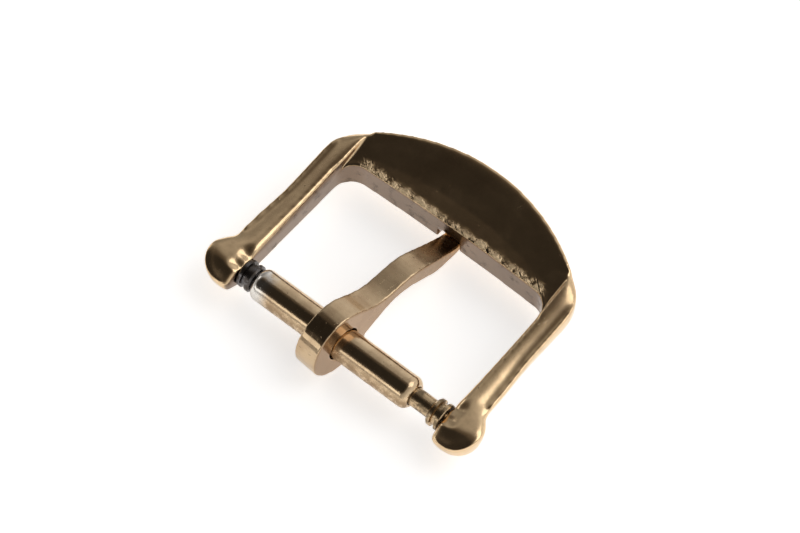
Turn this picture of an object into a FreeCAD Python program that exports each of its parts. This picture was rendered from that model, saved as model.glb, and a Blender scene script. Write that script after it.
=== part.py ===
import FreeCAD, Part
import math
import os

# Watch tang buckle, in millimetres, lying with its back (the wrist side) up.
# The origin is the middle of the spring bar's axis. +X runs along the bar, +Y runs from the bar
# to the crossbar and +Z points out of the back.

Vector = FreeCAD.Vector

# Frame, seen from the back
strap_width = 14.0
bar_to_crossbar = 8.7
crossbar_depth = 3.9
inner_wall_arch = 0.12
opening_corner_radius = 1.15
rim_arc_radius = 12.2
outer_corner_radius = 2.4
leg_width = 1.4
leg_flare = 0.2
flare_start = 2.0
flare_length = 3.5
lug_radius = 1.47
lug_centre_inset = 0.85
lug_behind_bar = 0.1
lug_blend_radius = 0.8

# Frame, seen from the side
lug_thickness = 1.59
back_radius = 60.0
front_rise = 0.12
dome_start_inset = 0.82
dome_middle_offset = 2.68
dome_middle_rise = 0.67
dome_overrun = 0.33
dome_end_rise = 2.25
nose_overrun = 0.17
nose_length = 1.5
nose_drop = 0.72
nose_bulge = 0.2
chin_length = 1.2
chin_rise = 0.44
chin_bulge = 0.12

# Frame, edges
side_round_drop = 0.05
side_round_width = 1.2
side_round_height = 1.7
side_round_turn = 80.0
side_round_levels = 6
lug_round_share = 0.45
bevel_width = 0.55
bevel_drop = 0.14
bevel_end_share = 0.03
bevel_stations = 4

# Dish in the back of the crossbar
dish_inner_depth = 0.38
dish_overshoot = 1.35
dish_sag = 0.2
rim_width = 0.17
dish_stations = 7

# Notch and groove for the tongue in the crossbar
notch_centre = -0.13
notch_side_clearance = 0.06
notch_height = 1.2
notch_depth = 0.32
groove_depth = 0.15
groove_end_clearance = 0.2

# Tongue
tongue_width = 1.44
tongue_tip_width = 1.0
tongue_centre = -0.75
eye_wall = 1.09
eye_shift_y = -0.12
eye_shift_z = 0.18
eye_top_turn = 62.0
eye_foot_turn = -65.0
seam_level = 1.0
seam_depth = 0.05
seam_height = 0.09
tip_reach = 11.2
tip_thickness = 0.3
tip_overrun = 0.15
tip_run = 1.0
tongue_proud = 0.4
groove_entry = 0.6
tip_taper_start = 5.6
# Places along the tongue and their heights, as shares of the way from the bar to the crossbar
tongue_back_points = [(0.255, 0.14), (0.371, 0.102), (0.51, 0.101), (0.65, 0.086), (0.79, 0.023), (0.928, -0.041)]
tongue_front_points = [(0.963, -0.134), (0.847, -0.131), (0.72, -0.08), (0.603, -0.021), (0.51, 0.0)]
tongue_front_foot_points = [(0.394, -0.009), (0.29, -0.052), (0.186, -0.107)]

# Spring bar
tube_wall = 0.245
tube_length = 10.85
tube_left_gap = 0.09
tube_end_length = 0.55
tube_end_drop = 0.25
tube_end_bulge = 0.07
swage_length = 0.5
head_length = 0.5
head_radius = 0.66
shank_radius = 0.55
shank_length = 1.95
collar_radius = 0.82
collar_length = 0.82
collar_inner_ridge = 0.32
collar_outer_ridge = 0.28
collar_groove_depth = 0.16
edge_chamfer = 0.05
pin_radius = 0.38
pin_length = 0.6
spring_wire = 0.2
spring_turns = 10

# Clearances
eye_clearance = 0.075
shank_clearance = 0.05
head_clearance = 0.05
pin_clearance = 0.04
collar_end_clearance = 0.05
pin_end_clearance = 0.12
tip_clearance = 0.06
tip_rise_clearance = 0.1
spring_side_clearance = 0.06
spring_end_clearance = 0.03

# Worked out from the sizes above
half_width = strap_width / 2
leg_outer = half_width + leg_width
lug_centre = half_width + lug_centre_inset
rim_reach = bar_to_crossbar + crossbar_depth
rim_arc_centre = rim_reach - rim_arc_radius
back_level = lug_thickness / 2
front_level = -lug_thickness / 2
tube_bore_radius = head_radius + head_clearance
tube_radius = tube_bore_radius + tube_wall
tongue_hole_radius = tube_radius + eye_clearance
eye_radius = tongue_hole_radius + eye_wall
swage_bore_radius = shank_radius + shank_clearance
pin_hole_radius = pin_radius + pin_clearance
pin_hole_depth = pin_length - collar_end_clearance + pin_end_clearance
collar_inner_x = half_width - collar_end_clearance - collar_length
tube_left = -collar_inner_x + tube_left_gap
tube_right = tube_left + tube_length
head_outer_x = collar_inner_x - shank_length
head_inner_x = head_outer_x - head_length
tongue_slope = (notch_centre - tongue_centre) / bar_to_crossbar
tongue_taper = (tongue_width - tongue_tip_width) / (tip_reach - tip_taper_start)
tongue_wall_half = (tongue_width - tongue_taper * (bar_to_crossbar - tip_taper_start)) / 2
tongue_tip_half = tongue_tip_width / 2 + abs(tongue_slope) * (tip_reach - bar_to_crossbar)
notch_width = 2 * (max(tongue_wall_half, tongue_tip_half) + notch_side_clearance)

# Room that the cutting shapes have beyond the piece
large = 20.0
cut_margin = 1.0
bevel_headroom = 3.0


def arc(start, middle, end):
    return Part.Arc(start, middle, end).toShape()


def line(start, end):
    return Part.LineSegment(start, end).toShape()


def side_point(y, z, x=0.0):
    return Vector(x, y, z)


def bulged_arc(start, end, bulge):
    """Arc in a plane of constant X whose middle stands off its chord by bulge."""
    chord = end.sub(start)
    side = Vector(0, -chord.z, chord.y)
    side.normalize()
    middle = start.add(end).multiply(0.5)
    return arc(start, middle.add(side.multiply(bulge)), end)


def curve(points, start_way, end_way):
    """Smooth curve through the points, with its direction set at both ends."""
    spline = Part.BSplineCurve()
    spline.interpolate(Points=points, InitialTangent=start_way, FinalTangent=end_way)
    return spline.toShape()


def prism(edges, way):
    """Closed outline extruded along a vector."""
    return Part.Face(Part.Wire(edges)).extrude(way)


def across(edges, x_from, x_to):
    """Closed outline in the plane X = 0, extruded from x_from to x_to."""
    solid = prism(edges, Vector(x_to - x_from, 0, 0))
    solid.translate(Vector(x_from, 0, 0))
    return solid


def mirrored(edges):
    return [edge.mirror(Vector(0, 0, 0), Vector(1, 0, 0)) for edge in edges]


def plan_point(centre_x, centre_y, radius, turn):
    return Vector(centre_x + radius * math.cos(turn), centre_y + radius * math.sin(turn), 0)


def back_height(y):
    """Height of the frame's back, which is hollow along Y."""
    return back_level + back_radius - math.sqrt(back_radius ** 2 - y ** 2)


def rim_reach_at(x):
    return rim_arc_centre + math.sqrt(rim_arc_radius ** 2 - x ** 2)


def dome_points():
    """Foot, middle and end of the crossbar's domed front, seen from the side."""
    foot_level = front_level + front_rise
    foot = side_point(bar_to_crossbar - dome_start_inset, foot_level)
    middle = side_point(bar_to_crossbar + dome_middle_offset, foot_level + dome_middle_rise)
    end = side_point(rim_reach + dome_overrun, foot_level + dome_end_rise)
    return foot, middle, end


def dome_height(y):
    foot, middle, end = dome_points()
    circle = arc(foot, middle, end).Curve
    return circle.Center.z - math.sqrt(circle.Radius ** 2 - (y - circle.Center.y) ** 2)


def dome_way(y):
    """Direction of the dome's surface at y, seen from the side and pointing away from the bar."""
    foot, middle, end = dome_points()
    centre = arc(foot, middle, end).Curve.Center
    return Vector(0, centre.z - dome_height(y), y - centre.y).normalize()


def roof_height(y):
    """Height of the groove's roof, over the tongue's tip."""
    return dome_height(y) + groove_depth


def outer_outline(inset, level):
    """Outline seen from the back, drawn in by inset and closed by a straight line between the lug ends."""
    rim_radius = rim_arc_radius - inset
    corner_radius = outer_corner_radius - inset
    lug_size = lug_radius - lug_round_share * inset
    blend_radius = lug_blend_radius + inset
    leg_side = leg_outer - inset
    corner_gap = rim_radius - corner_radius
    corner_x = leg_side - corner_radius
    corner_y = rim_arc_centre + math.sqrt(corner_gap ** 2 - corner_x ** 2)
    corner_turn = math.atan2(corner_y - rim_arc_centre, corner_x)
    flared = leg_side + leg_flare
    # The blend circle touches the flared side of the leg and, from outside, the lug's circle
    blend_x = flared + blend_radius
    blend_rise = math.sqrt((lug_size + blend_radius) ** 2 - (blend_x - lug_centre) ** 2)
    blend_y = blend_rise - lug_behind_bar
    blend_turn = math.atan2(blend_rise, blend_x - lug_centre)
    lug_y = -lug_behind_bar

    apex = Vector(0, rim_reach - inset, 0)
    rim_middle = plan_point(0, rim_arc_centre, rim_radius, (math.pi / 2 + corner_turn) / 2)
    rim_end = plan_point(corner_x, corner_y, corner_radius, corner_turn)
    corner_middle = plan_point(corner_x, corner_y, corner_radius, corner_turn / 2)
    leg_top = Vector(leg_side, corner_y, 0)
    flare_top = Vector(leg_side, flare_start + flare_length, 0)
    flare_foot = Vector(flared, flare_start, 0)
    blend_start = Vector(flared, blend_y, 0)
    blend_middle = plan_point(blend_x, blend_y, blend_radius, math.pi + blend_turn / 2)
    blend_end = plan_point(lug_centre, lug_y, lug_size, blend_turn)
    lug_middle = plan_point(lug_centre, lug_y, lug_size, (blend_turn - math.pi / 2) / 2)
    lug_end = Vector(lug_centre, lug_y - lug_size, 0)

    along = Vector(0, -1, 0)
    right = [
        arc(apex, rim_middle, rim_end),
        arc(rim_end, corner_middle, leg_top),
        line(leg_top, flare_top),
        curve([flare_top, flare_foot], along, along),
        line(flare_foot, blend_start),
        arc(blend_start, blend_middle, blend_end),
        arc(blend_end, lug_middle, lug_end),
    ]
    bridge = line(lug_end, Vector(-lug_centre, lug_end.y, 0))
    wire = Part.Wire(Part.sortEdges(right + mirrored(right) + [bridge])[0])
    wire.translate(Vector(0, 0, level))
    return wire


def outer_body():
    """Everything inside the outer outline: straight sides near the back, rounded under towards the front."""
    start = back_level - side_round_drop
    upper = Part.Face(outer_outline(0, start)).extrude(Vector(0, 0, large))
    wires = []
    for index in range(side_round_levels):
        turn = math.radians(side_round_turn) * index / (side_round_levels - 1)
        inset = side_round_width * (1 - math.cos(turn))
        wires.append(outer_outline(inset, start - side_round_height * math.sin(turn)))
    return upper.fuse(Part.makeLoft(wires, True, False))


def side_outline():
    """Outline of the frame seen from the side: hollow back, domed front and rounded lug ends."""
    nose_y = -lug_behind_bar - lug_radius - nose_overrun
    nose_top = side_point(nose_y + nose_length, back_height(nose_y + nose_length))
    nose_tip = side_point(nose_y, back_level - nose_drop)
    chin_tip = side_point(nose_y, front_level + chin_rise)
    chin_top = side_point(nose_y + chin_length, front_level)
    foot, middle, end = dome_points()
    back_end = side_point(end.y, back_height(end.y))
    back_middle = side_point(end.y / 2, back_height(end.y / 2))
    return [
        arc(back_end, back_middle, nose_top),
        bulged_arc(nose_top, nose_tip, -nose_bulge),
        line(nose_tip, chin_tip),
        bulged_arc(chin_tip, chin_top, -chin_bulge),
        line(chin_top, foot),
        arc(foot, middle, end),
        line(end, back_end),
    ]


def opening_cutter():
    """The opening between the legs, open at the lugs' end."""
    radius = opening_corner_radius
    wall_side = bar_to_crossbar - inner_wall_arch
    corner = Vector(half_width - radius, wall_side - radius, 0)
    start = Vector(half_width, -large, 0)
    side_top = Vector(half_width, corner.y, 0)
    wall_end = Vector(corner.x, wall_side, 0)
    right = [
        line(start, side_top),
        arc(side_top, plan_point(corner.x, corner.y, radius, math.pi / 4), wall_end),
    ]
    arch = arc(wall_end, Vector(0, bar_to_crossbar, 0), Vector(-corner.x, wall_side, 0))
    open_end = line(start, Vector(-half_width, -large, 0))
    solid = prism(Part.sortEdges(right + mirrored(right) + [arch, open_end])[0], Vector(0, 0, 2 * large))
    solid.translate(Vector(0, 0, -large))
    return solid


def dish_cutter():
    """Hollow in the crossbar's back, lofted through sections from leg to leg."""
    foot_y = bar_to_crossbar - dish_overshoot
    foot_z = back_height(foot_y) - dish_inner_depth
    sections = []
    for index in range(dish_stations):
        x = -half_width + strap_width * index / (dish_stations - 1)
        rim_y = rim_reach_at(x) - rim_width
        foot = side_point(foot_y, foot_z, x)
        rim = side_point(rim_y, back_height(rim_y), x)
        middle = foot.add(rim).multiply(0.5).sub(Vector(0, 0, dish_sag))
        rim_top = side_point(rim_y, large, x)
        foot_top = side_point(foot_y, large, x)
        edges = [arc(foot, middle, rim), line(rim, rim_top), line(rim_top, foot_top), line(foot_top, foot)]
        sections.append(Part.Wire(edges))
    return Part.makeLoft(sections, True, False)


def bevel_cutter(side):
    """Bevel along a leg's inner back edge, which runs out to nothing at the crossbar's corner."""
    end_y = rim_reach_at(half_width)
    start_y = -lug_behind_bar - lug_radius - cut_margin
    slope = bevel_drop / bevel_width
    inner_x = half_width - cut_margin
    sections = []
    for index in range(bevel_stations):
        share = index / (bevel_stations - 1)
        y = start_y + (end_y - start_y) * share
        size = 1.0 - (1.0 - bevel_end_share) * share
        height = back_height(y)
        outer_x = half_width + bevel_width * size + cut_margin
        low = side_point(y, height - bevel_drop * size - slope * cut_margin, side * inner_x)
        high = side_point(y, height + slope * cut_margin, side * outer_x)
        top = side_point(y, height + bevel_headroom, side * inner_x)
        sections.append(Part.makePolygon([low, high, top, low]))
    return Part.makeLoft(sections, True, False)


def notch_cutter():
    """Slanted notch in the crossbar's inner wall, carried on as a groove along its domed front."""
    open_y = bar_to_crossbar - cut_margin
    wall_y = bar_to_crossbar - inner_wall_arch
    groove_start = bar_to_crossbar + notch_depth
    groove_end = tip_reach + groove_end_clearance
    groove_middle = (groove_start + groove_end) / 2
    top = dome_height(bar_to_crossbar) + notch_height
    corners = [
        side_point(groove_end, roof_height(groove_end)),
        side_point(groove_end, -large),
        side_point(open_y, -large),
        side_point(open_y, top),
        side_point(wall_y, top),
        side_point(groove_start, roof_height(groove_start)),
    ]
    edges = [line(start, end) for start, end in zip(corners, corners[1:])]
    edges.append(arc(corners[-1], side_point(groove_middle, roof_height(groove_middle)), corners[0]))
    return across(edges, notch_centre - notch_width / 2, notch_centre + notch_width / 2)


def make_frame():
    body = outer_body().common(across(side_outline(), -large, large))
    for cutter in (opening_cutter(), dish_cutter(), bevel_cutter(1), bevel_cutter(-1), notch_cutter()):
        body = body.cut(cutter)
    for side in (-1, 1):
        start = Vector(side * (half_width - cut_margin), 0, 0)
        depth = cut_margin + pin_hole_depth
        body = body.cut(Part.makeCylinder(pin_hole_radius, depth, start, Vector(side, 0, 0)))
    return body


def eye_point(turn):
    return side_point(eye_shift_y + eye_radius * math.cos(turn), eye_shift_z + eye_radius * math.sin(turn))


def tongue_outline():
    """Outline of the tongue seen from the side: a round eye and a shank bent like a flat S."""
    top_turn = math.radians(eye_top_turn)
    foot_turn = math.radians(eye_foot_turn)
    eye_top = eye_point(top_turn)
    eye_foot = eye_point(foot_turn)
    wall = bar_to_crossbar
    back = [eye_top]
    back += [side_point(share * wall, rise * wall) for share, rise in tongue_back_points]
    for y in (wall + groove_entry, tip_reach - tip_run):
        back.append(side_point(y, roof_height(y) - tip_rise_clearance))
    end_y = tip_reach + tip_overrun
    tip_top = side_point(end_y, roof_height(end_y) - tip_clearance)
    back.append(tip_top)
    tip_foot = side_point(end_y, tip_top.z - tip_thickness)
    front = [tip_foot]
    for y in (tip_reach - tip_run, wall + groove_entry):
        front.append(side_point(y, dome_height(y) - tongue_proud))
    front += [side_point(share * wall, rise * wall) for share, rise in tongue_front_points]
    front += [side_point(share * wall, rise * wall) for share, rise in tongue_front_foot_points]
    front.append(eye_foot)
    back_start = Vector(0, math.sin(top_turn), -math.cos(top_turn))
    back_end = dome_way(end_y)
    front_start = dome_way(end_y).negative()
    front_end = Vector(0, math.sin(foot_turn), -math.cos(foot_turn))
    return [
        curve(back, back_start, back_end),
        line(tip_top, tip_foot),
        curve(front, front_start, front_end),
        arc(eye_foot, eye_point(math.pi), eye_top),
    ]


def tongue_plan():
    """Outline of the tongue seen from the back, narrower towards its rounded tip."""
    half = tongue_width / 2
    reach = tip_reach - tip_taper_start
    lean = math.atan(tongue_taper / 2)
    # The tip's circle touches both tapered sides and ends at the tongue's reach
    tip_radius = (half * math.cos(lean) - reach * math.sin(lean)) / (1 - math.sin(lean))
    start = Vector(half, -large, 0)
    taper = Vector(half, tip_taper_start, 0)
    shoulder = plan_point(0, tip_reach - tip_radius, tip_radius, lean)
    right = [line(start, taper), line(taper, shoulder)]
    round_tip = arc(shoulder, Vector(0, tip_reach, 0), Vector(-shoulder.x, shoulder.y, 0))
    open_end = line(start, Vector(-half, -large, 0))
    return Part.sortEdges(right + mirrored(right) + [round_tip, open_end])[0]


def make_tongue():
    profile = across(tongue_outline(), -tongue_width, tongue_width)
    plan = prism(tongue_plan(), Vector(0, 0, 2 * large))
    plan.translate(Vector(0, 0, -large))
    body = profile.common(plan).removeSplitter()
    seam_start = Vector(-tongue_width, -eye_radius * 2, seam_level - seam_height / 2)
    seam = Part.makeBox(2 * tongue_width, eye_radius * 2, seam_height, seam_start)
    inner_start = side_point(eye_shift_y, eye_shift_z, -2 * tongue_width)
    inner = Part.makeCylinder(eye_radius - seam_depth, 4 * tongue_width, inner_start, Vector(1, 0, 0))
    body = body.cut(seam.cut(inner))
    body.rotate(Vector(0, 0, 0), Vector(0, 0, 1), -math.degrees(math.atan(tongue_slope)))
    body.translate(Vector(tongue_centre, 0, 0))
    hole = Part.makeCylinder(tongue_hole_radius, 2 * half_width, Vector(-half_width, 0, 0), Vector(1, 0, 0))
    return body.cut(hole)


def turned(edges):
    """Closed outline in the plane Z = 0, turned about the bar's axis."""
    return Part.Face(Part.Wire(edges)).revolve(Vector(0, 0, 0), Vector(1, 0, 0), 360)


def radial(x, radius):
    return Vector(x, radius, 0)


def make_bar_tube():
    lip = tube_radius - tube_end_drop
    left_flat = tube_left + tube_end_length
    right_flat = tube_right - tube_end_length
    middle_radius = (lip + tube_radius) / 2 + tube_end_bulge
    left_middle = radial((tube_left + left_flat) / 2 - tube_end_bulge, middle_radius)
    right_middle = radial((tube_right + right_flat) / 2 + tube_end_bulge, middle_radius)
    inner = [
        radial(tube_right, lip),
        radial(tube_right, swage_bore_radius),
        radial(tube_right - swage_length, swage_bore_radius),
        radial(tube_right - swage_length, tube_bore_radius),
        radial(tube_left + swage_length, tube_bore_radius),
        radial(tube_left + swage_length, swage_bore_radius),
        radial(tube_left, swage_bore_radius),
        radial(tube_left, lip),
    ]
    edges = [arc(inner[-1], left_middle, radial(left_flat, tube_radius))]
    edges.append(line(radial(left_flat, tube_radius), radial(right_flat, tube_radius)))
    edges.append(arc(radial(right_flat, tube_radius), right_middle, inner[0]))
    edges += [line(start, end) for start, end in zip(inner, inner[1:])]
    return turned(edges)


def make_plunger(side):
    """Pin, collar with two ridges, shank and head. side is 1 for the right plunger and -1 for the left."""
    collar_outer_x = collar_inner_x + collar_length
    pin_end_x = collar_outer_x + pin_length
    valley_radius = collar_radius - collar_groove_depth
    valley_start = collar_inner_x + collar_inner_ridge
    valley_end = collar_outer_x - collar_outer_ridge
    cut = edge_chamfer
    outline = [
        (head_inner_x, 0),
        (head_inner_x, head_radius - cut),
        (head_inner_x + cut, head_radius),
        (head_outer_x - cut, head_radius),
        (head_outer_x, head_radius - cut),
        (head_outer_x, shank_radius),
        (collar_inner_x, shank_radius),
        (collar_inner_x, collar_radius - 2 * cut),
        (collar_inner_x + 2 * cut, collar_radius),
        (valley_start - cut, collar_radius),
        (valley_start, valley_radius),
        (valley_end, valley_radius),
        (valley_end + cut, collar_radius),
        (collar_outer_x - cut, collar_radius),
        (collar_outer_x, collar_radius - cut),
        (collar_outer_x, pin_radius),
        (pin_end_x - 2 * cut, pin_radius),
        (pin_end_x, pin_radius - 2 * cut),
        (pin_end_x, 0),
    ]
    points = [radial(side * x, radius) for x, radius in outline]
    points.append(points[0])
    return turned([line(start, end) for start, end in zip(points, points[1:])])


def make_bar_spring():
    """Coil spring between the two plungers' heads."""
    coil_radius = tube_bore_radius - spring_side_clearance - spring_wire / 2
    length = 2 * (head_inner_x - spring_end_clearance) - spring_wire
    helix = Part.makeHelix(length / spring_turns, length, coil_radius)
    section = Part.Wire(Part.makeCircle(spring_wire / 2, Vector(coil_radius, 0, 0), Vector(0, 1, 0)))
    coil = Part.Wire(helix.Edges).makePipeShell([section], True, True)
    coil.rotate(Vector(0, 0, 0), Vector(0, 1, 0), 90)
    coil.translate(Vector(-length / 2, 0, 0))
    return coil


def export(shape, name):
    solids = len(shape.Solids)
    print(name, "valid", shape.isValid(), "solids", solids, "volume", round(shape.Volume, 3))
    shape.exportStep("parts/" + name + ".step")


os.makedirs("parts", exist_ok=True)
export(make_frame(), "frame")
export(make_tongue(), "tongue")
export(make_bar_tube(), "bar_tube")
export(make_plunger(-1), "plunger_left")
export(make_plunger(1), "plunger_right")
export(make_bar_spring(), "bar_spring")
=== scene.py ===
import math

import bmesh
import bpy
from bpy.props import FloatProperty, FloatVectorProperty, IntProperty, PointerProperty
from mathutils import Matrix, Vector
from mathutils.bvhtree import BVHTree


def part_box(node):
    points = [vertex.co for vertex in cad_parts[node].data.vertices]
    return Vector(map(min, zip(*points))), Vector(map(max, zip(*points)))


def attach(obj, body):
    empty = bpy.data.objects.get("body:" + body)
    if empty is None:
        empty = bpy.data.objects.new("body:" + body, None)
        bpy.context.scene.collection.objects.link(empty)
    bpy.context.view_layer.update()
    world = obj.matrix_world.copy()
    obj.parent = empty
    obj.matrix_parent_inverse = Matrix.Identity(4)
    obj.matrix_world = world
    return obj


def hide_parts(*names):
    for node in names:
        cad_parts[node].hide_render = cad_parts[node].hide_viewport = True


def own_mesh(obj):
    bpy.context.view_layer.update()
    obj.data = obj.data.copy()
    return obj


bl_info = {
    "name": "Watch Tang Buckle",
    "version": (1, 0, 0),
    "blender": (4, 5, 0),
    "location": "View3D > Sidebar > Buckle",
    "description": "Dresses the watch tang buckle's solids with worn gold plate and steel",
    "category": "Object",
}

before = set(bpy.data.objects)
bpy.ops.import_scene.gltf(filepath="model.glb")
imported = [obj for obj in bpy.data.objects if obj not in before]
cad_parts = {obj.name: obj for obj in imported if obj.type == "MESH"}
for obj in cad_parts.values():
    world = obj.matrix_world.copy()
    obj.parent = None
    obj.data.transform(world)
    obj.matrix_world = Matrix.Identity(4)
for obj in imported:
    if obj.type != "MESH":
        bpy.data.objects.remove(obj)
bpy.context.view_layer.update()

MILLIMETRE = 0.001
PER_METRE = 1000.0
PICTURE_WIDTH = 800
PICTURE_HEIGHT = 533
SENSOR_WIDTH = 36.0


def colour_prop(name, description, default):
    return FloatVectorProperty(name=name, description=description, default=default, size=3,
                               subtype="COLOR", min=0.0, max=1.0)


def number_prop(name, description, default, **limits):
    return FloatProperty(name=name, description=description, default=default, **limits)


class PlateSettings(bpy.types.PropertyGroup):
    """Worn gold plate on the frame, the tongue and the tube."""
    gold: colour_prop("Gold", "Clean plate on the frame", (0.80, 0.585, 0.35))
    tongue_gold: colour_prop("Tongue gold", "Duller plate on the tongue", (0.57, 0.42, 0.26))
    tube_gold: colour_prop("Tube gold", "Plate on the spring bar's tube", (0.72, 0.54, 0.34))
    # Brown film on the plate; on the tongue's sides the same colour is also painted shade
    tarnish_and_side_shade: colour_prop("Tarnish", "Brown film on the plate", (0.30, 0.18, 0.10))
    dirt: colour_prop("Dirt", "Dirt in pits, corners and tool marks", (0.05, 0.035, 0.02))
    bare_metal: colour_prop("Bare metal", "Pale metal where the plate is worn away", (0.78, 0.76, 0.72))
    # Painted shade on the inner walls, with some grey-brown film
    wall_shade_and_film: colour_prop("Wall film", "Grey-brown film on the inner walls", (0.17, 0.12, 0.095))
    # Pale patches of the tool-marked band: partly rough metal, partly painted highlight
    tooled_sheen: colour_prop("Tooled metal", "Pale patches of the tooled band", (1.0, 0.78, 0.50))
    # Painted reflection: orange light from the crossbar's notch, shown on the tongue near its tip
    painted_tip_reflection: colour_prop("Stain", "Reddish stain near the tongue's tip", (0.55, 0.30, 0.10))
    patina: colour_prop("Patina", "Brown patina under the tube", (0.22, 0.13, 0.06))
    polish: number_prop("Polish roughness", "Roughness of the polished plate", 0.14, min=0.0, max=1.0)
    satin: number_prop("Satin roughness", "Roughness of the tongue's satin top", 0.24, min=0.0, max=1.0)


class SteelSettings(bpy.types.PropertyGroup):
    """Steel of the plungers and the hidden spring."""
    dark_steel: colour_prop("Dark steel", "Blackened collar on the left", (0.16, 0.15, 0.15))
    warm_steel: colour_prop("Warm steel", "Stained plunger on the right", (0.58, 0.42, 0.25))
    wire: colour_prop("Spring wire", "Drawn wire", (0.55, 0.55, 0.56))
    roughness: number_prop("Steel roughness", "Roughness of the plungers", 0.16, min=0.0, max=1.0)


class WearSettings(bpy.types.PropertyGroup):
    """How much the edges are rounded by wear."""
    grid: number_prop("Grid", "Spacing of the worn surface's grid", 0.05 * MILLIMETRE, unit="LENGTH",
                      precision=6)
    frame_passes: IntProperty(name="Frame passes", description="Smoothing passes on the frame",
                              default=300, min=0)
    tongue_passes: IntProperty(name="Tongue passes", description="Smoothing passes on the tongue",
                               default=16, min=0)


class StageSettings(bpy.types.PropertyGroup):
    """Camera, floor and light."""
    azimuth: number_prop("Azimuth", "Camera's turn about the vertical", math.radians(40.15), subtype="ANGLE")
    elevation: number_prop("Elevation", "Camera's height angle", math.radians(58.825), subtype="ANGLE")
    distance: number_prop("Distance", "Camera to the bar's middle", 0.211, unit="LENGTH")
    lens: number_prop("Lens", "Focal length in millimetres on a 36 mm sensor", 180.0)
    origin_x: number_prop("Origin X", "Pixel column where the bar's middle shows", 344.75)
    origin_y: number_prop("Origin Y", "Pixel row where the bar's middle shows", 344.7)
    floor_colour: colour_prop("Floor", "Floor and backdrop", (0.96, 0.96, 0.96))
    floor_glow: number_prop("Floor glow", "Plain white added to the floor that is seen", 0.60,
                            min=0.0, max=1.0)
    floor_size: number_prop("Floor size", "Half width of the floor", 0.6, unit="LENGTH")
    key_power: number_prop("Key lamp", "Power of the large soft lamp", 0.24)
    fill_power: number_prop("Fill lamp", "Power of the strip lamp", 0.08)
    side_power: number_prop("Side lamp", "Power of the small lamp on the left", 0.03)


def plate():
    return bpy.context.scene.buckle_plate


def steel():
    return bpy.context.scene.buckle_steel


def stage_values():
    return bpy.context.scene.buckle_stage


class Tree:
    """Adds shader nodes to a tree with little code. A socket or a plain value can feed any input."""

    def __init__(self, tree):
        self.tree = tree

    def node(self, kind, **settings):
        made = self.tree.nodes.new(kind)
        for name, value in settings.items():
            setattr(made, name, value)
        return made

    def feed(self, socket, value):
        if isinstance(value, bpy.types.NodeSocket):
            self.tree.links.new(value, socket)
        elif value is not None:
            socket.default_value = value

    def math(self, operation, first, second=None, third=None):
        made = self.node("ShaderNodeMath", operation=operation)
        for socket, value in zip(made.inputs, (first, second, third)):
            self.feed(socket, value)
        return made.outputs[0]

    def vector(self, operation, first, second=None):
        made = self.node("ShaderNodeVectorMath", operation=operation)
        self.feed(made.inputs[0], first)
        self.feed(made.inputs[1], second)
        return made.outputs[0]

    def scaled(self, vector, amount):
        made = self.node("ShaderNodeVectorMath", operation="SCALE")
        self.feed(made.inputs[0], vector)
        self.feed(made.inputs["Scale"], amount)
        return made.outputs[0]

    def step(self, value, low, high):
        """Smooth rise from 0 at low to 1 at high."""
        made = self.node("ShaderNodeMapRange", interpolation_type="SMOOTHSTEP")
        self.feed(made.inputs["Value"], value)
        self.feed(made.inputs["From Min"], low)
        self.feed(made.inputs["From Max"], high)
        return made.outputs["Result"]

    def between(self, value, low, high, soft):
        """1 between low and high, with soft ends."""
        rise = self.step(value, low - soft, low + soft)
        fall = self.step(value, high - soft, high + soft)
        return self.math("MULTIPLY", rise, self.math("SUBTRACT", 1.0, fall))

    def noise(self, vector, scale, detail=2.0, roughness=0.5):
        made = self.node("ShaderNodeTexNoise")
        self.feed(made.inputs["Vector"], vector)
        self.feed(made.inputs["Scale"], scale)
        self.feed(made.inputs["Detail"], detail)
        self.feed(made.inputs["Roughness"], roughness)
        return made.outputs["Fac"]

    def mix(self, share, first, second):
        """Colour mix."""
        made = self.node("ShaderNodeMix", data_type="RGBA")
        self.feed(made.inputs[0], share)
        self.feed(made.inputs[6], with_alpha(first))
        self.feed(made.inputs[7], with_alpha(second))
        return made.outputs[2]

    def group(self, tree, **values):
        made = self.node("ShaderNodeGroup", node_tree=tree)
        for name, value in values.items():
            self.feed(made.inputs[name.replace("_", " ")], value)
        return made


def with_alpha(colour):
    if isinstance(colour, bpy.types.NodeSocket):
        return colour
    return (colour[0], colour[1], colour[2], 1.0)


def new_group(name, inputs, outputs):
    """Shader node group with float or vector inputs and float outputs."""
    tree = bpy.data.node_groups.new(name, "ShaderNodeTree")
    for label, kind in inputs:
        tree.interface.new_socket(name=label, in_out="INPUT", socket_type=kind)
    for label, kind in outputs:
        tree.interface.new_socket(name=label, in_out="OUTPUT", socket_type=kind)
    return tree, tree.nodes.new("NodeGroupInput").outputs, tree.nodes.new("NodeGroupOutput").inputs


def place_group():
    """Position on the piece in millimetres, as a vector and as three numbers."""
    found = bpy.data.node_groups.get("Place on Piece")
    if found:
        return found
    outputs = [("Vector", "NodeSocketVector"), ("X", "NodeSocketFloat"), ("Y", "NodeSocketFloat"),
               ("Z", "NodeSocketFloat")]
    tree, _, out = new_group("Place on Piece", [], outputs)
    build = Tree(tree)
    coordinates = build.node("ShaderNodeTexCoord")
    place = build.scaled(coordinates.outputs["Object"], PER_METRE)
    split = build.node("ShaderNodeSeparateXYZ")
    build.feed(split.inputs[0], place)
    build.feed(out["Vector"], place)
    for axis in "XYZ":
        build.feed(out[axis], split.outputs[axis])
    return tree


def film_group():
    """Cloudy film, as of tarnishing: a mask of soft patches."""
    found = bpy.data.node_groups.get("Tarnish Film")
    if found:
        return found
    inputs = [("Vector", "NodeSocketVector"), ("Scale", "NodeSocketFloat"), ("Low", "NodeSocketFloat"),
              ("High", "NodeSocketFloat")]
    tree, into, out = new_group("Tarnish Film", inputs, [("Mask", "NodeSocketFloat")])
    build = Tree(tree)
    cloud = build.noise(into["Vector"], into["Scale"], 5.0, 0.62)
    build.feed(out["Mask"], build.step(cloud, into["Low"], into["High"]))
    return tree


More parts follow.
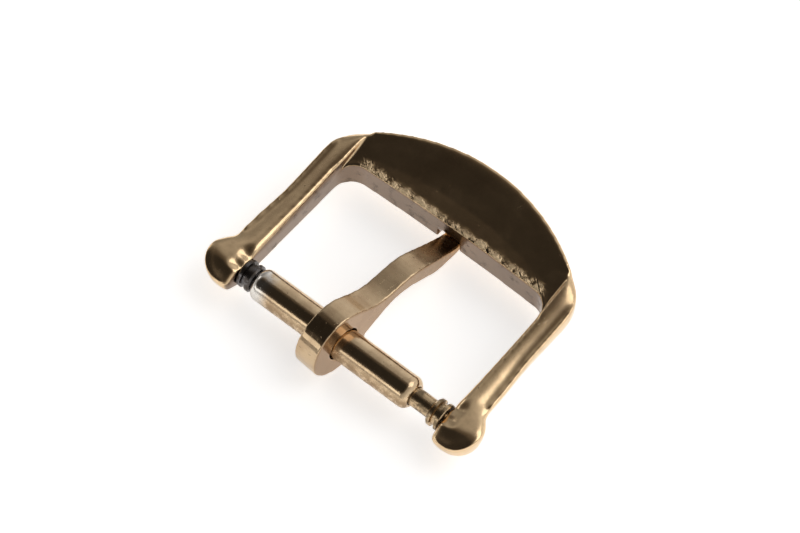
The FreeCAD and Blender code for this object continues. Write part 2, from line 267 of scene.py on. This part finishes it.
def scratch_group():
    """Fine scratches that run along one direction in the plane of the back: a mask of thin lines."""
    found = bpy.data.node_groups.get("Fine Scratches")
    if found:
        return found
    inputs = [("Vector", "NodeSocketVector"), ("Turn", "NodeSocketFloat"), ("Scale", "NodeSocketFloat"),
              ("Share", "NodeSocketFloat")]
    tree, into, out = new_group("Fine Scratches", inputs, [("Mask", "NodeSocketFloat")])
    build = Tree(tree)
    turned = build.node("ShaderNodeVectorRotate", rotation_type="Z_AXIS")
    build.feed(turned.inputs["Vector"], into["Vector"])
    build.feed(turned.inputs["Angle"], into["Turn"])
    stretched = build.vector("MULTIPLY", turned.outputs[0], (9.0, 0.7, 3.0))
    lines = build.noise(stretched, into["Scale"], 3.0, 0.7)
    limit = build.math("SUBTRACT", 1.0, into["Share"])
    build.feed(out["Mask"], build.step(lines, limit, build.math("ADD", limit, 0.05)))
    return tree


def pit_group():
    """Small round pits: a mask that is 1 inside a pit."""
    found = bpy.data.node_groups.get("Small Pits")
    if found:
        return found
    inputs = [("Vector", "NodeSocketVector"), ("Scale", "NodeSocketFloat"), ("Share", "NodeSocketFloat"),
              ("Size", "NodeSocketFloat")]
    tree, into, out = new_group("Small Pits", inputs, [("Mask", "NodeSocketFloat")])
    build = Tree(tree)
    cells = build.node("ShaderNodeTexVoronoi")
    build.feed(cells.inputs["Vector"], into["Vector"])
    build.feed(cells.inputs["Scale"], into["Scale"])
    split = build.node("ShaderNodeSeparateColor")
    build.feed(split.inputs[0], cells.outputs["Color"])
    chosen = build.math("LESS_THAN", split.outputs[0], into["Share"])
    near = build.math("SUBTRACT", 1.0, build.step(cells.outputs["Distance"], 0.0, into["Size"]))
    build.feed(out["Mask"], build.math("MULTIPLY", chosen, near))
    return tree


class Metal(Tree):
    """A metal material: its colour, roughness and height are built up, then joined to the shader."""

    def __init__(self, name):
        self.material = bpy.data.materials.new(name)
        self.material.use_nodes = True
        super().__init__(self.material.node_tree)
        self.tree.nodes.clear()
        self.place = self.group(place_group()).outputs
        self.normal = self.node("ShaderNodeNewGeometry").outputs["Normal"]

    def film(self, scale, low, high):
        made = self.group(film_group(), Vector=self.place["Vector"], Scale=scale, Low=low, High=high)
        return made.outputs[0]

    def scratches(self, turn, scale, share):
        made = self.group(scratch_group(), Vector=self.place["Vector"], Turn=math.radians(turn), Scale=scale,
                          Share=share)
        return made.outputs[0]

    def pits(self, scale, share, size):
        made = self.group(pit_group(), Vector=self.place["Vector"], Scale=scale, Share=share, Size=size)
        return made.outputs[0]

    def finish(self, colour, roughness, height, depth):
        bump = self.node("ShaderNodeBump")
        bump.inputs["Strength"].default_value = 1.0
        bump.inputs["Distance"].default_value = depth * MILLIMETRE
        self.feed(bump.inputs["Height"], height)
        shader = self.node("ShaderNodeBsdfPrincipled")
        shader.inputs["Metallic"].default_value = 1.0
        self.feed(shader.inputs["Base Color"], colour)
        self.feed(shader.inputs["Roughness"], roughness)
        self.feed(shader.inputs["Normal"], bump.outputs[0])
        out = self.node("ShaderNodeOutputMaterial")
        self.feed(out.inputs["Surface"], shader.outputs[0])
        return self.material


def frame_material():
    """Polished gold plate with a band of tool marks along the crossbar that is partly painted highlight,
    painted shade on the inner walls, and fine wear.
    """
    metal = Metal("Worn Gold Plate")
    values = plate()
    x, y = metal.place["X"], metal.place["Y"]
    split = metal.node("ShaderNodeSeparateXYZ")
    metal.feed(split.inputs[0], metal.normal)
    up = split.outputs["Z"]
    facing_up = metal.step(up, 0.55, 0.8)
    within = metal.math("SUBTRACT", 1.0, metal.step(metal.math("ABSOLUTE", x), 7.1, 7.3))
    upright = metal.math("SUBTRACT", 1.0, metal.step(up, 0.3, 0.6))
    inner_wall = metal.math("MULTIPLY", within, upright)
    inner_wall = metal.math("MULTIPLY", inner_wall, metal.math("SUBTRACT", 1.0, metal.step(y, 8.95, 9.15)))

    film = metal.film(0.55, 0.42, 0.68)
    colour = metal.mix(metal.math("MULTIPLY", film, 0.30), values.gold, values.tarnish_and_side_shade)
    fine = metal.film(4.0, 0.45, 0.75)
    colour = metal.mix(metal.math("MULTIPLY", fine, 0.12), colour, values.tarnish_and_side_shade)

    # Band of tool marks along the top of the crossbar's inner wall: pale rough patches that carry a painted
    # highlight, and dark tool marks
    wobble = metal.math("MULTIPLY", metal.noise(metal.place["Vector"], 1.6, 3.0), 0.5)
    band_place = metal.math("SUBTRACT", y, wobble)
    band = metal.math("MULTIPLY", metal.between(band_place, 8.3, 8.72, 0.22), facing_up)
    band = metal.math("MULTIPLY", band, metal.between(x, -6.2, 6.3, 0.4))
    ticks = metal.scratches(-52.0, 0.5, 0.42)
    patches = metal.film(1.7, 0.40, 0.60)
    pale = metal.math("MULTIPLY", band, metal.math("MULTIPLY", patches, metal.math("SUBTRACT", 1.0, ticks)))
    dark = metal.math("MULTIPLY", band, ticks)
    # Pale rough patches, partly painted highlight
    colour = metal.mix(metal.math("MULTIPLY", pale, 0.9), colour, values.tooled_sheen)
    colour = metal.mix(metal.math("MULTIPLY", dark, 0.85), colour, values.dirt)

    # Painted shade, with some grey-brown film, on the inner walls; dirt patches on them, and pits
    colour = metal.mix(metal.math("MULTIPLY", inner_wall, 0.88), colour, values.wall_shade_and_film)
    wall_dirt = metal.math("MULTIPLY", inner_wall, metal.film(1.3, 0.50, 0.72))
    colour = metal.mix(metal.math("MULTIPLY", wall_dirt, 0.5), colour, values.dirt)
    pits = metal.pits(2.6, 0.07, 0.14)
    colour = metal.mix(metal.math("MULTIPLY", pits, 0.75), colour, values.dirt)

    scratches = metal.math("MAXIMUM", metal.scratches(25.0, 0.8, 0.31), metal.scratches(-70.0, 0.9, 0.30))
    roughness = metal.math("ADD", values.polish, metal.math("MULTIPLY", metal.film(1.1, 0.35, 0.75), 0.08))
    roughness = metal.math("ADD", roughness, metal.math("MULTIPLY", pale, 0.30))
    roughness = metal.math("ADD", roughness, metal.math("MULTIPLY", wall_dirt, 0.22))
    roughness = metal.math("ADD", roughness, metal.math("MULTIPLY", scratches, 0.10))

    grain = metal.noise(metal.place["Vector"], 9.0, 3.0, 0.6)
    height = metal.math("MULTIPLY", grain, 0.05)
    height = metal.math("SUBTRACT", height, metal.math("MULTIPLY", pits, 0.4))
    height = metal.math("SUBTRACT", height, metal.math("MULTIPLY", dark, 0.8))
    height = metal.math("SUBTRACT", height, metal.math("MULTIPLY", scratches, 0.05))
    rough_band = metal.math("MULTIPLY", pale, metal.noise(metal.place["Vector"], 3.6, 4.0, 0.65))
    height = metal.math("ADD", height, metal.math("MULTIPLY", rough_band, 4.0))
    return metal.finish(colour, roughness, height, 0.02)


def tongue_material():
    """Satin gold plate, with painted shade on its sides and a painted orange reflection near its tip."""
    metal = Metal("Satin Gold Plate")
    values = plate()
    film = metal.film(0.8, 0.40, 0.66)
    colour = metal.mix(metal.math("MULTIPLY", film, 0.32), values.tongue_gold, values.tarnish_and_side_shade)
    split = metal.node("ShaderNodeSeparateXYZ")
    metal.feed(split.inputs[0], metal.normal)
    # Painted shade: the tongue's sides, picked by their facing, are darkened with the brown film colour
    side = metal.step(metal.math("ABSOLUTE", split.outputs["X"]), 0.6, 0.9)
    colour = metal.mix(metal.math("MULTIPLY", side, 0.7), colour, values.tarnish_and_side_shade)
    pits = metal.pits(4.0, 0.10, 0.2)
    colour = metal.mix(metal.math("MULTIPLY", pits, 0.6), colour, values.dirt)
    # Painted reflection: orange light from the crossbar's notch, in soft patches near the tongue's tip
    near_wall = metal.between(metal.place["Y"], 7.9, 9.2, 0.4)
    painted_tip_reflection = metal.math("MULTIPLY", near_wall, metal.film(2.0, 0.35, 0.65))
    colour = metal.mix(metal.math("MULTIPLY", painted_tip_reflection, 0.5), colour, values.painted_tip_reflection)
    scratches = metal.math("MAXIMUM", metal.scratches(4.0, 1.2, 0.34), metal.scratches(-62.0, 1.0, 0.32))
    roughness = metal.math("ADD", values.satin, metal.math("MULTIPLY", metal.film(1.4, 0.35, 0.7), 0.08))
    eye = metal.math("SUBTRACT", 1.0, metal.step(metal.place["Y"], 1.2, 2.6))
    roughness = metal.math("SUBTRACT", roughness, metal.math("MULTIPLY", eye, 0.12))
    roughness = metal.math("ADD", roughness, metal.math("MULTIPLY", scratches, 0.08))
    height = metal.math("MULTIPLY", metal.noise(metal.place["Vector"], 7.0, 3.0, 0.6), 0.10)
    height = metal.math("SUBTRACT", height, metal.math("MULTIPLY", pits, 1.0))
    height = metal.math("SUBTRACT", height, metal.math("MULTIPLY", scratches, 0.12))
    return metal.finish(colour, roughness, height, 0.02)


def tube_material():
    """Gold plate with a rough brown lower side and pale metal rubbed bare at the left end."""
    metal = Metal("Patinated Tube Plate")
    values = plate()
    x, y, z = metal.place["X"], metal.place["Y"], metal.place["Z"]
    film = metal.film(1.0, 0.36, 0.66)
    colour = metal.mix(metal.math("MULTIPLY", film, 0.35), values.tube_gold, values.tarnish_and_side_shade)
    side = metal.math("SUBTRACT", metal.math("MULTIPLY", y, -0.8), metal.math("MULTIPLY", z, 0.9))
    low_side = metal.step(side, 0.05, 0.55)
    patina = metal.math("MULTIPLY", low_side, metal.film(2.2, 0.36, 0.56))
    colour = metal.mix(metal.math("MULTIPLY", patina, 0.6), colour, values.patina)
    left_end = metal.math("SUBTRACT", 1.0, metal.step(x, -5.5, -4.6))
    worn = metal.math("MULTIPLY", left_end, metal.film(1.2, 0.25, 0.5))
    colour = metal.mix(metal.math("MULTIPLY", worn, 0.85), colour, values.bare_metal)
    pits = metal.pits(5.0, 0.10, 0.22)
    colour = metal.mix(metal.math("MULTIPLY", pits, 0.8), colour, values.dirt)
    roughness = metal.math("ADD", 0.11, metal.math("MULTIPLY", patina, 0.30))
    roughness = metal.math("ADD", roughness, metal.math("MULTIPLY", film, 0.06))
    height = metal.math("MULTIPLY", metal.noise(metal.place["Vector"], 8.0, 3.0, 0.6), 0.2)
    height = metal.math("SUBTRACT", height, metal.math("MULTIPLY", pits, 0.3))
    rough = metal.math("MULTIPLY", patina, metal.noise(metal.place["Vector"], 4.0, 4.0, 0.7))
    height = metal.math("ADD", height, metal.math("MULTIPLY", rough, 1.2))
    return metal.finish(colour, roughness, height, 0.02)


def plunger_material(name, base):
    """Tarnished steel with dark stains and turning marks round its axis."""
    metal = Metal(name)
    values = plate()
    film = metal.film(2.2, 0.40, 0.60)
    colour = metal.mix(metal.math("MULTIPLY", film, 0.7), base, values.dirt)
    turning = metal.node("ShaderNodeTexWave", wave_type="BANDS", bands_direction="X")
    metal.feed(turning.inputs["Vector"], metal.place["Vector"])
    turning.inputs["Scale"].default_value = 7.0
    turning.inputs["Distortion"].default_value = 1.5
    roughness = metal.math("ADD", steel().roughness, metal.math("MULTIPLY", film, 0.18))
    height = metal.math("MULTIPLY", turning.outputs["Fac"], 0.2)
    rough = metal.math("MULTIPLY", metal.noise(metal.place["Vector"], 6.0, 3.0), 0.25)
    height = metal.math("ADD", height, rough)
    return metal.finish(colour, roughness, height, 0.012)


def wire_material():
    """Drawn steel wire with a faint grain."""
    metal = Metal("Spring Wire")
    film = metal.film(3.0, 0.4, 0.7)
    colour = metal.mix(metal.math("MULTIPLY", film, 0.3), steel().wire, steel().dark_steel)
    grain = metal.noise(metal.place["Vector"], 12.0, 2.0)
    return metal.finish(colour, metal.math("ADD", 0.22, metal.math("MULTIPLY", film, 0.1)), grain, 0.004)


def applied(piece):
    """The piece's mesh with its modifiers applied, in place of the old one."""
    bpy.context.view_layer.update()
    old = piece.data
    made = bpy.data.meshes.new_from_object(piece.evaluated_get(bpy.context.evaluated_depsgraph_get()))
    piece.modifiers.clear()
    piece.data = made
    bpy.data.meshes.remove(old)


def worn_copy(node, name, passes, wear, shape=None):
    """A finer copy of a node, shaped by shape(piece) and then rounded as far as wear(point) says.

    It is worked in millimetres and brought back.
    """
    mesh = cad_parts[node].data.copy()
    mesh.transform(Matrix.Scale(PER_METRE, 4))
    piece = bpy.data.objects.new(name, mesh)
    bpy.context.scene.collection.objects.link(piece)
    remesh = piece.modifiers.new("Even grid", "REMESH")
    remesh.mode = "VOXEL"
    remesh.voxel_size = bpy.context.scene.buckle_wear.grid * PER_METRE
    remesh.use_smooth_shade = True
    applied(piece)
    if shape:
        shape(piece)
    group = piece.vertex_groups.new(name="Wear")
    for vertex in piece.data.vertices:
        group.add([vertex.index], wear(vertex.co), "REPLACE")
    smooth = piece.modifiers.new("Wear", "SMOOTH")
    smooth.factor = 0.5
    smooth.iterations = passes
    smooth.vertex_group = group.name
    applied(piece)
    piece.vertex_groups.clear()
    piece.data.transform(Matrix.Scale(MILLIMETRE, 4))
    piece.data.name = name
    return piece


def rise(value, low, high):
    """Smooth rise from 0 at low to 1 at high."""
    share = min(max((value - low) / (high - low), 0.0), 1.0)
    return share * share * (3.0 - 2.0 * share)


# Millimetres: how far in from an edge the back falls away, how far down, and where the forms lie
CROWN_REACH = 1.3
CROWN_DROP = 0.26
RIM_DROP = 0.13
NOSE_REACH = 0.95
NOSE_DROP = 0.30
RIM_RADIUS = 12.2
LEG_MIDDLE = -0.1
LEG_HEIGHT = 0.8
LEG_INSIDE = 6.9
WELD = 1e-4 * MILLIMETRE


def wall_nearness(walls, start, way, reach):
    """1 where the start lies on a wall that faces it along the way, falling to 0 at the reach."""
    distance = walls.ray_cast(start, Vector(way), reach)[3]
    return 0.0 if distance is None else 1.0 - distance / reach


def crown_legs(piece):
    """Crowns the back, so that it falls away towards the outer side of the legs, their ends and the rim."""
    mesh = piece.data
    places = [vertex.co.copy() for vertex in mesh.vertices]
    walls = BVHTree.FromPolygons(places, [tuple(polygon.vertices) for polygon in mesh.polygons])
    rim_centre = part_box("frame")[1][1] * PER_METRE - RIM_RADIUS
    drops = {}
    for vertex in mesh.vertices:
        point = vertex.co
        if point.z < LEG_MIDDLE:
            continue
        start = Vector((point.x, point.y, LEG_MIDDLE))
        outward = (math.copysign(1.0, point.x), 0.0, 0.0)
        inside_rim = RIM_RADIUS - math.hypot(point.x, point.y - rim_centre)
        rim_edge = rise(point.y, 8.0, 9.5) * min(max(1.0 - inside_rim / CROWN_REACH, 0.0), 1.0)
        drop = RIM_DROP * rim_edge ** 2
        if abs(point.x) > LEG_INSIDE:
            leg_share = (0.15 + 0.85 * rise(point.y, 0.3, 2.2)) * (1.0 - 0.5 * rise(point.y, 8.0, 10.5))
            side_edge = wall_nearness(walls, start, outward, CROWN_REACH)
            drop = max(drop, CROWN_DROP * leg_share * side_edge ** 2)
            drop += NOSE_DROP * wall_nearness(walls, start, (0.0, -1.0, 0.0), NOSE_REACH) ** 2
        drops[vertex.index] = drop * min((point.z - LEG_MIDDLE) / LEG_HEIGHT, 1.0)
    for index, drop in drops.items():
        mesh.vertices[index].co.z -= drop


def frame_wear(point):
    """Most wear on the legs, the lugs and the crossbar's shoulders, little on the rest. Millimetres."""
    outside = rise(abs(point.x), 6.85, 7.2)
    leg = 1.0 - rise(point.y, 8.0, 10.5)
    lug = 1.0 - rise(point.y, -0.7, 0.2)
    lug_corner = (1.0 - rise(abs(point.x), 7.2, 7.8)) * (1.0 - rise(point.y, -1.0, -0.5))
    rim_place = point.y + 0.045 * point.x ** 2
    shoulder = rise(abs(point.x), 4.7, 5.3) * (1.0 - rise(abs(point.x), 6.7, 7.0)) * rise(point.y, 9.3, 9.8)
    shoulder *= 1.0 - rise(rim_place, 12.0, 12.4)
    rim = rise(rim_place, 11.9, 12.3)
    worn = 0.05 + 0.38 * max(outside * (0.45 + 0.55 * leg), 0.9 * lug, 0.3 * rim)
    return max(worn, lug_corner, shoulder)


def even_wear(point):
    return 1.0


def dress(piece, material):
    piece.data.materials.clear()
    piece.data.materials.append(material)


def add_spring_half(name, side, body):
    """Half of the coil spring, from the bar's middle to one plunger.

    The half rides on that plunger.
    """
    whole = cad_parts["bar_spring"]
    piece = bpy.data.objects.new(name, whole.data.copy())
    bpy.context.scene.collection.objects.link(piece)
    work = bmesh.new()
    work.from_mesh(piece.data)
    bmesh.ops.remove_doubles(work, verts=work.verts, dist=WELD)
    parts = work.verts[:] + work.edges[:] + work.faces[:]
    bmesh.ops.bisect_plane(work, geom=parts, dist=WELD, plane_co=(0.0, 0.0, 0.0),
                           plane_no=(side, 0.0, 0.0), clear_inner=True)
    cut = [edge for edge in work.edges if edge.is_boundary]
    bmesh.ops.triangulate(work, faces=bmesh.ops.holes_fill(work, edges=cut)["faces"])
    work.to_mesh(piece.data)
    work.free()
    dress(piece, wire_material())
    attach(piece, body)
    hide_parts("bar_spring")
    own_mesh(piece)


class BUCKLE_OT_frame(bpy.types.Operator):
    """Make the worn frame: crossbar, legs and lugs"""
    bl_idname = "buckle.frame"
    bl_label = "Frame"

    def execute(self, context):
        piece = worn_copy("frame", "frame_worn", context.scene.buckle_wear.frame_passes, frame_wear,
                          crown_legs)
        dress(piece, frame_material())
        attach(piece, "frame")
        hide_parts("frame")
        return {"FINISHED"}


class BUCKLE_OT_tongue(bpy.types.Operator):
    """Make the worn tongue"""
    bl_idname = "buckle.tongue"
    bl_label = "Tongue"

    def execute(self, context):
        piece = worn_copy("tongue", "tongue_worn", context.scene.buckle_wear.tongue_passes, even_wear)
        dress(piece, tongue_material())
        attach(piece, "tongue")
        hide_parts("tongue")
        return {"FINISHED"}


class BUCKLE_OT_spring_bar(bpy.types.Operator):
    """Finish the spring bar: tube, plungers and spring"""
    bl_idname = "buckle.spring_bar"
    bl_label = "Spring Bar"

    def execute(self, context):
        values = context.scene.buckle_steel
        dress(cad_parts["bar_tube"], tube_material())
        dress(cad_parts["plunger_left"], plunger_material("Dark Steel", values.dark_steel))
        dress(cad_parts["plunger_right"], plunger_material("Stained Steel", values.warm_steel))
        add_spring_half("spring_left_half", -1.0, "plunger_left")
        add_spring_half("spring_right_half", 1.0, "plunger_right")
        return {"FINISHED"}


def camera_axes(azimuth, elevation):
    """Right, up and backward directions of the camera."""
    right = Vector((math.cos(azimuth), math.sin(azimuth), 0.0))
    back = Vector((math.sin(azimuth) * math.cos(elevation), -math.cos(azimuth) * math.cos(elevation),
                   math.sin(elevation)))
    return right, back.cross(right), back


def add_camera():
    """Camera with the photograph's view of the bar's middle, moved sideways and not shifted."""
    values = stage_values()
    right, up, back = camera_axes(values.azimuth, values.elevation)
    pixels = values.lens / SENSOR_WIDTH * PICTURE_WIDTH
    across = (values.origin_x - PICTURE_WIDTH / 2) * values.distance / pixels
    above = (PICTURE_HEIGHT / 2 - values.origin_y) * values.distance / pixels
    data = bpy.data.cameras.new("Camera")
    data.lens = values.lens
    data.sensor_width = SENSOR_WIDTH
    data.sensor_fit = "HORIZONTAL"
    data.clip_start = 0.001
    camera = bpy.data.objects.new("Camera", data)
    place = back * values.distance - right * across - up * above
    turn = Matrix((right, up, back)).transposed().to_4x4()
    camera.matrix_world = Matrix.Translation(place) @ turn
    bpy.context.scene.collection.objects.link(camera)
    bpy.context.scene.camera = camera


def add_lamp(name, direction, distance, width, height, power, colour):
    """Rectangular soft lamp that points at the buckle's middle."""
    data = bpy.data.lights.new(name, "AREA")
    data.shape = "RECTANGLE"
    data.size = width
    data.size_y = height
    data.energy = power
    data.color = colour
    lamp = bpy.data.objects.new(name, data)
    way = Vector(direction).normalized()
    centre = Vector((0.0, 0.005, 0.0))
    turn = way.to_track_quat("Z", "Y").to_matrix().to_4x4()
    lamp.matrix_world = Matrix.Translation(centre + way * distance) @ turn
    bpy.context.scene.collection.objects.link(lamp)
    return lamp


def floor_material():
    """Pale floor that keeps soft shadows, and shows mostly as plain white to the camera and in the metal."""
    material = bpy.data.materials.new("Floor")
    material.use_nodes = True
    build = Tree(material.node_tree)
    material.node_tree.nodes.clear()
    values = stage_values()
    diffuse = build.node("ShaderNodeBsdfDiffuse")
    diffuse.inputs["Color"].default_value = with_alpha(values.floor_colour)
    glow = build.node("ShaderNodeEmission")
    path = build.node("ShaderNodeLightPath")
    seen = build.math("MAXIMUM", path.outputs["Is Camera Ray"], path.outputs["Is Glossy Ray"])
    seen = build.math("MAXIMUM", seen, path.outputs["Is Transmission Ray"])
    build.feed(glow.inputs["Strength"], build.math("MULTIPLY", seen, values.floor_glow))
    mixed = build.node("ShaderNodeAddShader")
    build.feed(mixed.inputs[0], diffuse.outputs[0])
    build.feed(mixed.inputs[1], glow.outputs[0])
    out = build.node("ShaderNodeOutputMaterial")
    build.feed(out.inputs["Surface"], mixed.outputs[0])
    return material


def add_floor():
    size = stage_values().floor_size
    lowest = min(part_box(node)[0].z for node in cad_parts)
    corners = [(-size, -size, lowest), (size, -size, lowest), (size, size, lowest), (-size, size, lowest)]
    mesh = bpy.data.meshes.new("floor")
    mesh.from_pydata(corners, [], [(0, 1, 2, 3)])
    floor = bpy.data.objects.new("floor", mesh)
    bpy.context.scene.collection.objects.link(floor)
    dress(floor, floor_material())


def add_world():
    """Room that is dark above the camera's side, warm grey around and pale towards the horizon."""
    world = bpy.data.worlds.new("Room")
    bpy.context.scene.world = world
    world.use_nodes = True
    world.node_tree.nodes.clear()
    build = Tree(world.node_tree)
    way = build.node("ShaderNodeTexCoord").outputs["Generated"]
    dark_way = Vector((-0.28, -0.42, 0.86)).normalized()
    nearness = build.node("ShaderNodeVectorMath", operation="DOT_PRODUCT")
    build.feed(nearness.inputs[0], way)
    build.feed(nearness.inputs[1], tuple(dark_way))
    ramp = build.node("ShaderNodeValToRGB")
    ramp.color_ramp.interpolation = "EASE"
    stops = ramp.color_ramp.elements
    stops[0].position = 0.0
    stops[0].color = (0.85, 0.85, 0.85, 1.0)
    stops[1].position = 0.93
    stops[1].color = (0.03, 0.027, 0.024, 1.0)
    middle = stops.new(0.66)
    middle.color = (0.43, 0.42, 0.41, 1.0)
    shade = stops.new(0.82)
    shade.color = (0.10, 0.085, 0.07, 1.0)
    build.feed(ramp.inputs[0], nearness.outputs["Value"])
    # A darker corner of the room, to the left behind the buckle
    corner_way = Vector((-0.85, 0.50, 0.18)).normalized()
    corner = build.node("ShaderNodeVectorMath", operation="DOT_PRODUCT")
    build.feed(corner.inputs[0], way)
    build.feed(corner.inputs[1], tuple(corner_way))
    shaded = build.math("MULTIPLY", build.step(corner.outputs["Value"], 0.72, 0.97), 0.6)
    background = build.node("ShaderNodeBackground")
    build.feed(background.inputs["Color"], build.mix(shaded, ramp.outputs[0], (0.05, 0.045, 0.04)))
    out = build.node("ShaderNodeOutputWorld")
    build.feed(out.inputs["Surface"], background.outputs[0])


class BUCKLE_OT_stage(bpy.types.Operator):
    """Add the camera, the floor, the room and the lamps"""
    bl_idname = "buckle.stage"
    bl_label = "Stage"

    def execute(self, context):
        values = context.scene.buckle_stage
        add_camera()
        add_floor()
        add_world()
        add_lamp("Key", (0.42, 0.42, 0.80), 0.35, 0.24, 0.24, values.key_power, (1.0, 0.99, 0.98))
        add_lamp("Strip", (-0.45, -0.85, 0.30), 0.35, 0.30, 0.08, values.fill_power, (1.0, 1.0, 0.99))
        add_lamp("Side", (-0.85, 0.10, 0.46), 0.35, 0.10, 0.10, values.side_power, (1.0, 0.99, 0.98))
        context.scene.view_settings.view_transform = "Standard"
        return {"FINISHED"}


class BUCKLE_PT_panel(bpy.types.Panel):
    """Lists the buckle's pieces and settings"""
    bl_idname = "BUCKLE_PT_panel"
    bl_label = "Watch Tang Buckle"
    bl_space_type = "VIEW_3D"
    bl_region_type = "UI"
    bl_category = "Buckle"

    def draw(self, context):
        for kind in PIECES + (BUCKLE_OT_stage,):
            self.layout.operator(kind.bl_idname)
        for name in SETTINGS:
            values = getattr(context.scene, name)
            box = self.layout.box()
            for key in values.__annotations__:
                box.prop(values, key)


PIECES = (BUCKLE_OT_frame, BUCKLE_OT_tongue, BUCKLE_OT_spring_bar)
SETTINGS = {
    "buckle_plate": PlateSettings,
    "buckle_steel": SteelSettings,
    "buckle_wear": WearSettings,
    "buckle_stage": StageSettings,
}
CLASSES = tuple(SETTINGS.values()) + PIECES + (BUCKLE_OT_stage, BUCKLE_PT_panel)


def register():
    for kind in CLASSES:
        bpy.utils.register_class(kind)
    for name, kind in SETTINGS.items():
        setattr(bpy.types.Scene, name, PointerProperty(type=kind))


def unregister():
    for name in SETTINGS:
        delattr(bpy.types.Scene, name)
    for kind in reversed(CLASSES):
        bpy.utils.unregister_class(kind)


def main():
    register()
    bpy.ops.buckle.frame()
    bpy.ops.buckle.tongue()
    bpy.ops.buckle.spring_bar()
    bpy.ops.buckle.stage()


if __name__ == "__main__":
    main()
